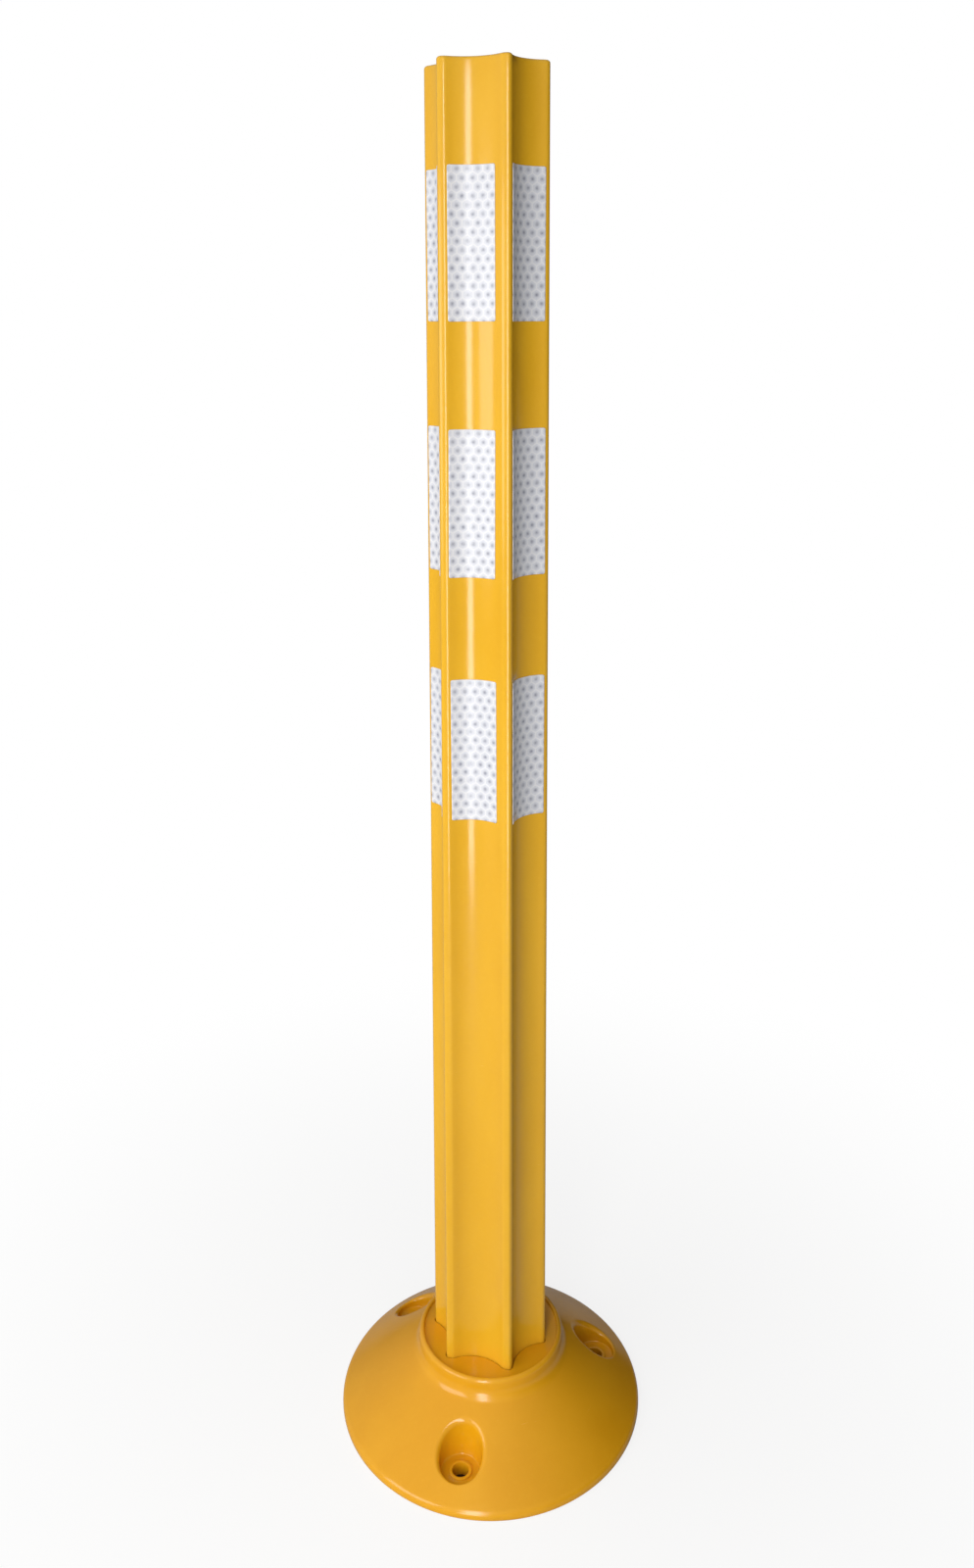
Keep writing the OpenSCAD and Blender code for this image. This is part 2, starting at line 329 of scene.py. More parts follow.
def edge_wear(line):
    """How sharply a closed line bends at each point, from 0 to 1."""
    step = np.roll(line, -1, axis=0) - np.roll(line, 1, axis=0)
    heading = np.unwrap(np.arctan2(step[:, 1], step[:, 0]))
    ahead = np.append(heading[1:], heading[0] + TURN)
    behind = np.insert(heading[:-1], 0, heading[-1] - TURN)
    return np.clip((ahead - behind) / np.linalg.norm(step, axis=1) * 1.4, 0, 1)


def build_post():
    shell = Shell()
    lines = {}
    for inset, _, _ in post_levels():
        lines.setdefault(round(inset, 4), outline(inset))
    edge = edge_wear(lines[0.0])
    outside = POST_WALL - 0.7
    rings = []
    for inset, z, wear in post_levels():
        shown = np.maximum(edge, wear) if inset < outside else np.full(len(edge), wear)
        rings.append(shell.add(flat(lines[round(inset, 4)], z), shown))
    for a, b in zip(rings, rings[1:] + rings[:1]):
        shell.bridge(a, b)
    post = shell.make("post", sharp=50)
    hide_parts("post_foot", "post_flex_section", "post_upper_section")
    return post


def build_cap():
    """The plug in the post's top: a slightly crowned plate with a skirt and a moulding gate mark."""
    shell = Shell()
    gap = POST_WALL + 0.2
    edge_r, small_r, inner_gap = 1.0, 0.25, gap + 2.5
    plate_under = CAP_TOP - 4
    rows = [(gap + small_r, CAP_LOW), (gap, CAP_LOW + small_r), (gap, CAP_TOP - edge_r)]
    rows += [(gap + edge_r * (1 - math.cos(t)), CAP_TOP - edge_r + edge_r * math.sin(t))
             for t in np.radians([20, 40, 60, 80])]
    rows += [(gap + 1.4, CAP_TOP), (gap + 2.0, CAP_TOP)]
    rows += [(gap + 2.5, CAP_TOP - 0.5), (gap + 3.2, CAP_TOP - 0.7)]
    rings = [shell.add(flat(outline(inset), z)) for inset, z in rows]
    crown = [(18, 0.68), (16, 0.62), (11, 0.5), (6.6, 0.42)]
    gate_mark = [(3.4, 0.4), (3.0, 0.8), (1.2, 0.85), (0.9, 0.3)]
    for radius, drop in crown + gate_mark:
        rings.append(shell.add(circle(radius, CAP_TOP - drop, ANGLES)))
    tip = shell.add([[0, 0, CAP_TOP - 0.25]])
    for a, b in zip(rings, rings[1:]):
        shell.bridge(a, b)
    shell.fan(rings[-1], tip[0])
    inner = [(inner_gap - small_r, CAP_LOW), (inner_gap, CAP_LOW + small_r)]
    inner += [(inner_gap, plate_under - 0.6), (inner_gap + 0.6, plate_under)]
    under = [rings[0]] + [shell.add(flat(outline(inset), z)) for inset, z in inner]
    for radius in (15, 8, 3):
        under.append(shell.add(circle(radius, plate_under, ANGLES)))
    bottom = shell.add([[0, 0, plate_under]])
    for a, b in zip(under, under[1:]):
        shell.bridge(a, b)
    shell.fan(under[-1], bottom[0])
    cap = shell.make("post_cap", sharp=40)
    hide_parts("top_cap")
    return cap

# ---------------------------------------------------------------- the base

DOME_LOW = np.array([BASE_R, RIM_H])
DOME_HIGH = np.array([COLLAR_OUT, HUB_FLOOR - DOME_DROP])
DOME_CHORD = np.linalg.norm(DOME_HIGH - DOME_LOW)
DOME_WAY = (DOME_HIGH - DOME_LOW) / DOME_CHORD
DOME_ACROSS = np.array([DOME_WAY[1], -DOME_WAY[0]])
DOME_SINK = math.sqrt(DOME_R ** 2 - (DOME_CHORD / 2) ** 2)
DOME_X, DOME_Z = (DOME_LOW + DOME_HIGH) / 2 - DOME_SINK * DOME_ACROSS
RIM_X = BASE_R - RIM_ROUND
RIM_Z = DOME_Z + math.sqrt((DOME_R - RIM_ROUND) ** 2 - (RIM_X - DOME_X) ** 2)
RIM_END = math.degrees(math.atan2(RIM_Z - DOME_Z, RIM_X - DOME_X))
FILLET_X = COLLAR_OUT + FILLET_R
FILLET_Z = DOME_Z + math.sqrt((DOME_R + FILLET_R) ** 2 - (FILLET_X - DOME_X) ** 2)
FILLET_MEETS = FILLET_X + (DOME_X - FILLET_X) * FILLET_R / (DOME_R + FILLET_R)

SECTOR_IN, SECTOR_OUT = 55.5, 94.5
SECTOR_HALF = 15.0
STEP = 1.5
RADIAL_STEPS = 24
POCKET_STEPS = (0.08, 0.2, 0.36, 0.56, 0.78, 1.0)
AROUND = np.radians(np.arange(0, 360, STEP))
ANCHORS = [0, 120, 240]


def dome_height(radius):
    """Height of the base's top surface at a distance from the axis, outside the collar."""
    on_fillet = FILLET_Z - np.sqrt(np.maximum(FILLET_R ** 2 - (FILLET_X - radius) ** 2, 0))
    on_dome = DOME_Z + np.sqrt(DOME_R ** 2 - (radius - DOME_X) ** 2)
    return np.where(radius < FILLET_MEETS, on_fillet, on_dome)


def hollow_height(radius):
    return DOME_Z + np.sqrt((DOME_R - DOME_WALL) ** 2 - (radius - DOME_X) ** 2)


def rim_section():
    """From the base's underside round the rim to the pocket sectors."""
    line = [(BASE_R - 0.9, 0, 0.2), (BASE_R - 0.35, 0.15, 0.4), (BASE_R, 0.6, 0.5)]
    line += [(r, z, 0.5) for r, z in arc((RIM_X, RIM_Z), RIM_ROUND, 0, RIM_END, 10)]
    start = line[-1][0]
    line += [(r, float(dome_height(r)), 0) for r in np.linspace(start, SECTOR_OUT, 6)[1:-1]]
    return line


def hub_section():
    """From the pocket sectors up the fillet, over the collar's lip and down to the hub floor."""
    line = [(r, float(dome_height(r)), 0) for r in np.linspace(SECTOR_IN, FILLET_MEETS, 4)[1:-1]]
    fillet_end = math.degrees(math.atan2(DOME_Z - FILLET_Z, DOME_X - FILLET_X)) + 360
    line += [(r, z, 0) for r, z in arc((FILLET_X, FILLET_Z), FILLET_R, fillet_end, 180, 14)]
    lip = (COLLAR_OUT - COLLAR_ROUND, COLLAR_TOP - COLLAR_ROUND)
    line += [(r, z, 0.35 * (z - lip[1]) / COLLAR_ROUND + 0.1) for r, z in arc(lip, COLLAR_ROUND, 0, 90, 12)]
    inner = (COLLAR_IN + COLLAR_IN_ROUND, COLLAR_TOP - COLLAR_IN_ROUND)
    line += [(r, z, 0.7) for r, z in arc(inner, COLLAR_IN_ROUND, 90, 180, 5)]
    corner_r = 0.6
    corner = (COLLAR_IN - corner_r, HUB_FLOOR + corner_r)
    line += [(r, z, 0) for r, z in arc(corner, corner_r, 0, -90, 4)]
    return line


def sector_edge():
    """The pocket sector's edge as (radius, degrees off the pocket's line), starting at its outer middle."""
    across = np.arange(0, SECTOR_HALF + STEP / 2, STEP)
    down = np.linspace(SECTOR_OUT, SECTOR_IN, RADIAL_STEPS + 1)
    half = [(SECTOR_OUT, a) for a in across] + [(r, SECTOR_HALF) for r in down[1:]]
    half += [(SECTOR_IN, a) for a in across[::-1][1:]]
    back = [(r, -a) for r, a in half[::-1][1:-1]]
    return half + back


def mouth_section(direction):
    """The pocket's wall and rounded mouth in one direction from its middle, as (distance, height, wear)."""
    out, side = math.cos(direction), math.sin(direction)

    def height(rho):
        return float(dome_height(math.hypot(ANCHOR_AT + rho * out, rho * side)))

    def slope(rho):
        return (height(rho + 0.05) - height(rho - 0.05)) / 0.1

    lean = math.sqrt(1 + DRAFT ** 2)
    wall_top = SEAT_R
    for _ in range(4):
        wall_top = SEAT_R + (height(wall_top) - SEAT_Z) * DRAFT
    tilt = slope(wall_top + 0.8)
    corner = math.acos((-DRAFT - tilt) / (lean * math.sqrt(1 + tilt ** 2)))
    room = 0.5 * max(height(wall_top) - SEAT_Z - 1.0, 0.4)
    radius = min(1.6 + 1.7 * (1 - out), room * math.tan(corner / 2))
    low, high = SEAT_Z, SEAT_Z + 40
    for _ in range(40):
        z = (low + high) / 2
        centre = (SEAT_R + DRAFT * (z - SEAT_Z) + radius / lean, z - radius * DRAFT / lean)
        tilt = slope(centre[0])
        tilt = slope(centre[0] - radius * tilt / math.sqrt(1 + tilt ** 2))
        length = math.sqrt(1 + tilt ** 2)
        touch = (centre[0] - radius * tilt / length, centre[1] + radius / length)
        low, high = (z, high) if height(touch[0]) > touch[1] else (low, z)
    foot_r = 1.0
    seat_at = (SEAT_R + (DRAFT - lean) * foot_r, SEAT_Z + foot_r)
    rows = [(d, h, 0) for d, h in arc(seat_at, foot_r, -90, -math.degrees(math.atan(DRAFT)), 5)]
    start = rows[-1]
    wall_end = SEAT_R + DRAFT * (z - SEAT_Z)
    rows += [(start[0] + (wall_end - start[0]) * s, start[1] + (z - start[1]) * s, 0)
             for s in np.linspace(0, 1, 7)[1:-1]]
    from_angle = 180 - math.degrees(math.atan(DRAFT))
    to_angle = math.degrees(math.atan2(1, -tilt))
    rows += [(d, h, 0.12) for d, h in arc(centre, radius, from_angle, to_angle, 9)]
    return rows


def seat_section():
    """Up the anchor hole, over its raised ring and out on to the seat, as (distance, height, wear)."""
    edge_r, cut = 0.35, 0.1
    top = SEAT_Z + RING_H
    line = [(HOLE_R + edge_r, 0, 0), (HOLE_R, edge_r, 0), (HOLE_R, 3, 0), (HOLE_R, 6, 0)]
    line += [(HOLE_R, top - edge_r, 0), (HOLE_R + cut, top - cut, 0.8), (HOLE_R + edge_r, top, 0.5)]
    line += [(RING_R - edge_r, top, 0.5), (RING_R - cut, top - cut, 0.8), (RING_R, top - edge_r, 0.3)]
    line += [(RING_R + 0.03, SEAT_Z + 0.3, 0), (RING_R + cut, SEAT_Z + cut, 0)]
    line += [(RING_R + edge_r, SEAT_Z, 0), (9.4, SEAT_Z, 0)]
    return line


def build_pocket(shell, azimuth):
    """One anchor pocket, from its hole's lower edge to the sector's edge. Returns the hole's lower edge."""
    edge = sector_edge()
    count = len(edge)
    turn = math.radians(azimuth)
    outward = np.array([math.sin(turn), -math.cos(turn)])
    sideways = np.array([math.cos(turn), math.sin(turn)])
    columns = []
    for j, (radius, off) in enumerate(edge):
        off = math.radians(off)
        target = np.array([radius * math.cos(off) - ANCHOR_AT, radius * math.sin(off)])
        seen = math.atan2(target[1], target[0]) % TURN
        direction = 0.55 * seen + 0.45 * (TURN * j / count)
        rows = seat_section() + mouth_section(direction)
        plan = np.array([(d * math.cos(direction), d * math.sin(direction)) for d, _, _ in rows])
        heights = [h for _, h, _ in rows]
        wear = [w for _, _, w in rows]
        for s in POCKET_STEPS:
            point = plan[len(rows) - 1] * (1 - s) + target * s
            plan = np.vstack([plan, point])
            heights.append(float(dome_height(math.hypot(point[0] + ANCHOR_AT, point[1]))))
            wear.append(0)
        flat_xy = (plan[:, :1] + ANCHOR_AT) * outward + plan[:, 1:] * sideways
        columns.append(shell.add(np.column_stack([flat_xy, heights]), np.array(wear)))
    for j in range(count):
        shell.bridge(columns[j], columns[(j + 1) % count], closed=False)
    return np.array([c[0] for c in columns])


def build_dome(shell):
    """The base's top: rim, dome between the pockets, fillet, collar and hub floor. Returns its end rings."""
    rim = [shell.add(circle(r, z, AROUND), w) for r, z, w in rim_section()]
    radii = np.linspace(SECTOR_OUT, SECTOR_IN, RADIAL_STEPS + 1)
    dome = [shell.add(circle(r, float(dome_height(r)), AROUND)) for r in radii]
    hub = [shell.add(circle(r, z, AROUND), w) for r, z, w in hub_section()]
    for a, b in zip(rim, rim[1:] + dome[:1]):
        shell.bridge(a, b)
    for a, b in zip([dome[-1]] + hub, hub):
        shell.bridge(a, b)
    count = len(AROUND)
    for a, b in zip(dome, dome[1:]):
        for i in range(count):
            middle = (i + 0.5) * STEP
            if min(abs((middle - at + 180) % 360 - 180) for at in ANCHORS) > SECTOR_HALF:
                j = (i + 1) % count
                shell.faces.append((int(a[i]), int(a[j]), int(b[j]), int(b[i])))
    return rim[0], hub[-1]


def cell_outline(index):
    """One hollow cell between two ribs under the dome, clear of the anchor pillars, as a closed line."""
    points_on_arc = 60
    step = TURN / RIB_COUNT
    start, end = index * step, (index + 1) * step
    half = RIB_T / 2
    outer = np.linspace(start + half / HOLLOW_OUT_R, end - half / HOLLOW_OUT_R, points_on_arc)
    inner = np.linspace(end - half / SKIRT_R, start + half / SKIRT_R, points_on_arc)
    line = np.vstack([circle(HOLLOW_OUT_R, 0, outer)[:, :2], circle(SKIRT_R, 0, inner)[:, :2]])
    dense = soften(line, 0, 1600)
    for at in np.radians(ANCHORS):
        sideways = np.array([math.cos(at), math.sin(at)])
        outwards = np.array([math.sin(at), -math.cos(at)])
        centre = ANCHOR_AT * outwards
        away = dense - centre
        distance = np.linalg.norm(away, axis=1)
        if distance.min() > PILLAR_R:
            continue
        lateral = away @ sideways
        outward = away @ outwards
        side = math.copysign(1, lateral[np.argmax(np.abs(lateral))])
        inside = distance < PILLAR_R
        swell = np.sqrt(np.maximum(PILLAR_R ** 2 - outward ** 2, 0))
        moved = np.where(inside, side * np.maximum(swell, half), lateral)
        dense = centre + np.outer(moved, sideways) + np.outer(outward, outwards)
        behind_pillar = (outward > PILLAR_R * 0.8) & (np.abs(lateral) < PILLAR_R * 0.6)
        dense = dense[~behind_pillar]
    return soften(dense, 1.3, 600)[::5]


def inside_line(points, line):
    """Which points lie inside a closed line."""
    result = np.zeros(len(points), bool)
    ax, ay = line[:, 0], line[:, 1]
    bx, by = np.roll(ax, -1), np.roll(ay, -1)
    for i, (x, y) in enumerate(points):
        crosses = (ay > y) != (by > y)
        with np.errstate(divide="ignore", invalid="ignore"):
            at = ax + (y - ay) / (by - ay) * (bx - ax)
        result[i] = np.count_nonzero(crosses & (x < at)) % 2 == 1
    return result


def outward_normals(line):
    step = np.roll(line, -1, axis=0) - np.roll(line, 1, axis=0)
    normal = np.column_stack([step[:, 1], -step[:, 0]]) / np.linalg.norm(step, axis=1)[:, None]
    middle = line.mean(0)
    return normal * np.sign(((line - middle) * normal).sum())


def fill_region(shell, loops, keep=None, height=None, extra=()):
    """Fills closed loops with triangles. With keep, a triangle stays only if keep says so of its middle."""
    points = []
    owners = []
    edges = []
    for loop in loops:
        start = len(points)
        for i, index in enumerate(loop):
            points.append(Vector(shell.points[index][:2]))
            owners.append(int(index))
            edges.append((start + i, start + (i + 1) % len(loop)))
    for x, y in extra:
        points.append(Vector((x, y)))
        owners.append(int(shell.add([[x, y, float(height(math.hypot(x, y)))]])[0]))
    result = delaunay_2d_cdt(points, edges, [], 1, 1e-6)
    source = [owners[o[0]] if o else None for o in result[3]]
    triangles = [t for t in result[2] if all(source[i] is not None for i in t)]
    if keep:
        middles = np.array([np.mean([result[0][i][:] for i in t], axis=0) for t in triangles])
        triangles = [t for t, wanted in zip(triangles, keep(middles)) if wanted]
    for triangle in triangles:
        shell.faces.append(tuple(source[i] for i in triangle))


def build_cell(shell, line):
    """A cell's walls and its ceiling under the dome. Returns its lower edge's points."""
    normal = outward_normals(line)
    radius = np.linalg.norm(line, axis=1)
    ceiling = hollow_height(np.minimum(radius, HOLLOW_OUT_R))
    foot = shell.add(flat(line + normal * CELL_EDGE_R, 0.0), 0.3)
    rings = [foot, shell.add(flat(line, CELL_EDGE_R))]
    round_r = np.minimum(CELL_CEILING_R, (ceiling - 0.5) * 0.6)
    for s in (0.35, 0.7, 1.0):
        wall = CELL_EDGE_R + (ceiling - round_r - CELL_EDGE_R) * s
        rings.append(shell.add(np.column_stack([line, wall])))
    for turn in np.radians([30, 60, 90]):
        inner = line - normal * (round_r * (1 - math.cos(turn)))[:, None]
        edge = hollow_height(np.minimum(np.linalg.norm(inner, axis=1), HOLLOW_OUT_R))
        rings.append(shell.add(np.column_stack([inner, edge - round_r * (1 - math.sin(turn))])))
    for a, b in zip(rings, rings[1:]):
        shell.bridge(a, b)
    top = np.array([shell.points[i][:2] for i in rings[-1]])
    spacing = 3.5
    grid = []
    for r in np.arange(SKIRT_R + 3, HOLLOW_OUT_R - 1, spacing):
        turns = TURN * np.arange(int(TURN * r / spacing)) / int(TURN * r / spacing)
        grid.append(circle(r, 0, turns)[:, :2])
    grid = np.vstack(grid)
    low, high = top.min(0), top.max(0)
    grid = grid[np.all((grid > low) & (grid < high), axis=1)]
    grid = grid[inside_line(grid, top)]
    clear = np.array([np.linalg.norm(top - g, axis=1).min() > 0.4 * spacing for g in grid])
    fill_region(shell, [rings[-1]], height=hollow_height, extra=grid[clear])
    return foot


def build_base():
    shell = Shell()
    rim_ring, floor_ring = build_dome(shell)
    holes = [build_pocket(shell, at) for at in ANCHORS]
    mouth = outline(-FOOT_GAP - 0.3)
    hole = outline(-FOOT_GAP)
    levels = [(mouth, HUB_FLOOR), (hole, HUB_FLOOR - 0.3), (hole, HUB_UNDER + 0.3), (mouth, HUB_UNDER)]
    rings = [shell.add(flat(line, z)) for line, z in levels]
    shell.zip(floor_ring, rings[0])
    for a, b in zip(rings, rings[1:]):
        shell.bridge(a, b)
    edge_r = 0.4
    well = [(WELL_R, z) for z in (HUB_UNDER, HUB_UNDER - 10, 20, 10, edge_r)] + [(WELL_R + edge_r, 0)]
    well_rings = [shell.add(circle(r, z, AROUND)) for r, z in well]
    shell.zip(rings[-1], well_rings[0])
    for a, b in zip(well_rings, well_rings[1:]):
        shell.bridge(a, b)
    lines = [cell_outline(i) for i in range(RIB_COUNT)]
    cells = [build_cell(shell, line) for line in lines]
    openings = [np.array([shell.points[i][:2] for i in loop]) for loop in cells + holes]

    def keep(middles):
        radius = np.linalg.norm(middles, axis=1)
        kept = (radius > WELL_R + edge_r) & (radius < rim_section()[0][0])
        for loop in openings:
            kept &= ~inside_line(middles, loop)
        return kept

    fill_region(shell, [rim_ring, well_rings[-1]] + cells + holes, keep)
    base = shell.make("base_moulding", sharp=40)
    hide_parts("base_shell")
    return base

# ---------------------------------------------------------------- reflective strips

def build_strip(node, face, azimuth, shift, lean):
    """A thin curved sheet in a flute, with rounded corners; its map gives millimetres across and up."""
    low, high = node_box(node)
    z_low, height = low[2], high[2] - low[2]
    corner = STRIP_CORNER_R
    turned, tilt = math.radians(azimuth), math.radians(lean)
    back_r = face.flute_r - STRIP_GAP
    half = back_r * math.asin(STRIP_W / 2 / back_r)
    ends = [0, 0.12, 0.35, 0.7, corner]
    rows = ends + list(np.linspace(corner, height - corner, 46))[1:-1] + [height - e for e in ends[::-1]]
    columns = np.concatenate([[-1, -0.985, -0.95], np.linspace(-0.9, 0.9, 25), [0.95, 0.985, 1]])
    points, uvs = {"front": [], "back": []}, []
    for v in rows:
        off = min(v, height - v)
        cut = corner - math.sqrt(max(corner ** 2 - max(corner - off, 0) ** 2, 0))
        for c in columns:
            u = c * (half - cut)
            uu = u * math.cos(tilt) - (v - height / 2) * math.sin(tilt) + shift
            vv = (v - height / 2) * math.cos(tilt) + u * math.sin(tilt) + height / 2
            edge = min(off, (1 - abs(c)) * half)
            thick = STRIP_T * (0.55 + 0.45 * min(edge / 0.5, 1) ** 0.5)
            for side, radius in (("front", back_r - thick), ("back", back_r)):
                turn = uu / back_r
                x = radius * math.sin(turn)
                y = -face.flute_at + radius * math.cos(turn)
                across = x * math.cos(turned) - y * math.sin(turned)
                inwards = x * math.sin(turned) + y * math.cos(turned)
                points[side].append((across, inwards, z_low + vv))
            uvs.append((u / 100 + 0.5, v / 100))
    shell = Shell()
    front = shell.add(points["front"]).reshape(len(rows), len(columns))
    back = shell.add(points["back"]).reshape(len(rows), len(columns))
    for i in range(len(rows) - 1):
        shell.bridge(front[i], front[i + 1], closed=False)
        shell.bridge(back[i + 1], back[i], closed=False)

    def around(grid):
        return np.concatenate([grid[0, :], grid[1:, -1], grid[-1, ::-1][1:], grid[::-1, 0][1:-1]])

    shell.bridge(around(back), around(front))
    mesh = shell.mesh(node)
    layer = mesh.uv_layers.new(name="sheet")
    found = np.array(uvs * 2)
    corners = np.zeros(len(mesh.loops), np.int32)
    mesh.loops.foreach_get("vertex_index", corners)
    layer.data.foreach_set("uv", found[corners].astype(np.float32).ravel())
    clean(mesh)
    strip = place("sheet_" + node, mesh, 50)
    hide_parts(node)
    return strip

# ---------------------------------------------------------------- materials

class Nodes:
    """Short calls for building one material's nodes."""

    def __init__(self, name):
        self.material = bpy.data.materials.new(name)
        self.material.use_nodes = True
        self.tree = self.material.node_tree
        self.shader = self.tree.nodes["Principled BSDF"]

    def add(self, kind, links=None, **settings):
        node = self.tree.nodes.new(kind)
        for key, value in settings.items():
            setattr(node, key, value)
        for socket, value in (links or {}).items():
            self.set(node, socket, value)
        return node

    def set(self, node, socket, value):
        if isinstance(value, bpy.types.NodeSocket):
            self.tree.links.new(value, node.inputs[socket])
        else:
            node.inputs[socket].default_value = value

    def math(self, operation, a, b=0.0):
        return self.add("ShaderNodeMath", {0: a, 1: b}, operation=operation).outputs[0]

    def product(self, a, b):
        return self.math("MULTIPLY", a, b)

    def noise(self, vector, scale, detail=3.0, rough=0.55):
        links = {"Vector": vector, "Scale": scale, "Detail": detail, "Roughness": rough}
        return self.add("ShaderNodeTexNoise", links).outputs["Fac"]

    def scaled(self, vector, scale):
        return self.add("ShaderNodeVectorMath", {0: vector, 1: scale}, operation="MULTIPLY").outputs[0]

    def ramp(self, value, low, high, to_low=0.0, to_high=1.0, smooth=True):
        links = {"Value": value, "From Min": low, "From Max": high, "To Min": to_low, "To Max": to_high}
        kind = "SMOOTHSTEP" if smooth else "LINEAR"
        return self.add("ShaderNodeMapRange", links, interpolation_type=kind).outputs[0]

    def mix(self, factor, a, b, blend="MIX"):
        node = self.tree.nodes.new("ShaderNodeMix")
        node.data_type = "RGBA"
        node.blend_type = blend
        node.clamp_factor = True
        self.set(node, 0, factor)
        for socket, value in ((6, a), (7, b)):
            self.set(node, socket, value if isinstance(value, bpy.types.NodeSocket) else (*value, 1))
        return node.outputs[2]

    def bump(self, height, strength, distance, normal=None):
        links = {"Height": height, "Strength": strength, "Distance": distance}
        if normal is not None:
            links["Normal"] = normal
        return self.add("ShaderNodeBump", links).outputs[0]


def plastic(name, colour, deep, pale, flow, roughness=0.15):
    """Moulded plastic: soft mottling, fine flow lines, worn edges and a few scuffs."""
    n = Nodes(name)
    place_at = n.add("ShaderNodeTexCoord").outputs["Object"]
    wear = n.add("ShaderNodeAttribute", attribute_name="wear").outputs["Fac"]
    broad = n.noise(n.scaled(place_at, (1, 1, 0.35)), 22, 3)
    fine = n.noise(place_at, 420, 4)
    lines = n.noise(n.scaled(place_at, flow), 160, 3)
    colour_now = n.mix(n.ramp(broad, 0.35, 0.68), deep, colour)
    colour_now = n.mix(n.ramp(fine, 0.45, 0.75, 0, 0.1), colour_now, pale)
    worn = n.product(wear, n.ramp(n.noise(place_at, 90, 5, 0.65), 0.3, 0.62, 0.35, 1.0))
    colour_now = n.mix(n.product(worn, 0.4), colour_now, pale)
    scratch = n.noise(n.scaled(place_at, (1, 1, 9)), 55, 6, 0.75)
    scuffs = n.product(n.ramp(scratch, 0.64, 0.7), n.ramp(n.noise(place_at, 14, 2), 0.52, 0.66))
    colour_now = n.mix(n.product(scuffs, 0.25), colour_now, pale)
    n.set(n.shader, "Base Color", colour_now)
    grain = n.math("ADD", n.product(broad, 0.6), n.product(fine, 0.4))
    rough_now = n.ramp(grain, 0.3, 0.7, roughness - 0.03, roughness + 0.06)
    rough_now = n.math("ADD", rough_now, n.product(scuffs, 0.18))
    rough_now = n.math("ADD", rough_now, n.product(worn, -0.04))
    n.set(n.shader, "Roughness", rough_now)
    normal = n.bump(n.noise(place_at, 36, 2), 0.25, 0.0006)
    normal = n.bump(lines, 0.18, 0.00012, normal)
    normal = n.bump(fine, 0.12, 0.00006, normal)
    normal = n.bump(scuffs, 0.3, 0.00003, normal)
    n.set(n.shader, "Normal", normal)
    n.shader.inputs["IOR"].default_value = 1.49
    n.shader.inputs["Specular IOR Level"].default_value = 0.5
    return n.material


def sheeting(name):
    """Prismatic sheeting: pale cells with a grey-blue middle, white cell walls and a clear top film.

    The cells' middles lie on two interleaved grids, and gap_1 and gap_2 are the distances to them."""
    n = Nodes(name)
    across, up = 6.3, 10.2
    place_at = n.scaled(n.add("ShaderNodeUVMap", uv_map="sheet").outputs[0], (100, 100, 0))
    half, less = (across / 2, up / 2, 0.5), (-across / 2, -up / 2, -0.5)

    def wrapped(vector):
        node = n.add("ShaderNodeVectorMath", {0: vector, 1: half, 2: less}, operation="WRAP")
        return node.outputs[0]

    first = wrapped(place_at)
    moved = n.add("ShaderNodeVectorMath", {0: place_at, 1: (across / 2, up / 2, 0)}, operation="ADD")
    second = wrapped(moved.outputs[0])
    gap_1 = n.add("ShaderNodeVectorMath", {0: first}, operation="LENGTH").outputs["Value"]
    gap_2 = n.add("ShaderNodeVectorMath", {0: second}, operation="LENGTH").outputs["Value"]
    nearest = n.math("MINIMUM", gap_1, gap_2)
    wall_diagonal = n.math("ABSOLUTE", n.math("SUBTRACT", gap_1, gap_2))
    near_first = n.math("LESS_THAN", gap_1, gap_2)
    side = n.add("ShaderNodeMix", data_type="VECTOR")
    n.set(side, 0, near_first)
    n.set(side, 4, second)
    n.set(side, 5, first)
    sideways = n.add("ShaderNodeSeparateXYZ", {0: side.outputs[1]}).outputs[0]
    wall_upright = n.math("SUBTRACT", across / 2, n.math("ABSOLUTE", sideways))
    wall = n.math("MINIMUM", n.product(wall_diagonal, 0.5), wall_upright)
    wall_mask = n.ramp(wall, 0.15, 0.75, 1.0, 0.0)
    middle = n.ramp(nearest, 0.2, 2.2, 1.0, 0.0)
    uneven = n.noise(place_at, 0.35, 3)
    prism = n.add("ShaderNodeTexVoronoi", {"Vector": place_at, "Scale": 1.9, "Randomness": 0.35},
                  voronoi_dimensions="2D", feature="F1").outputs["Color"]
    prism_tone = n.add("ShaderNodeSeparateColor", {0: prism}).outputs[0]
    cell = n.mix(n.ramp(prism_tone, 0, 1, 0.0, 0.5), (0.62, 0.63, 0.67), (0.54, 0.55, 0.61))
    cell = n.mix(n.product(middle, n.ramp(uneven, 0.3, 0.7, 0.55, 1.0)), cell, (0.29, 0.30, 0.36))
    colour_now = n.mix(wall_mask, cell, (0.69, 0.69, 0.71))
    dirt = n.ramp(n.noise(place_at, 0.9, 5, 0.7), 0.62, 0.74)
    colour_now = n.mix(n.product(dirt, 0.25), colour_now, (0.36, 0.33, 0.31))
    n.set(n.shader, "Base Color", colour_now)
    smoothness = n.math("ADD", middle, n.product(uneven, 0.4))
    n.set(n.shader, "Roughness", n.ramp(smoothness, 0, 1.4, 0.42, 0.26))
    normal = n.bump(wall_mask, 0.5, 0.00008)
    normal = n.bump(prism_tone, 0.2, 0.00004, normal)
    n.set(n.shader, "Normal", normal)
    n.shader.inputs["Metallic"].default_value = 0.0
    n.shader.inputs["Coat Weight"].default_value = 0.25
    n.shader.inputs["Coat Roughness"].default_value = 0.2
    return n.material


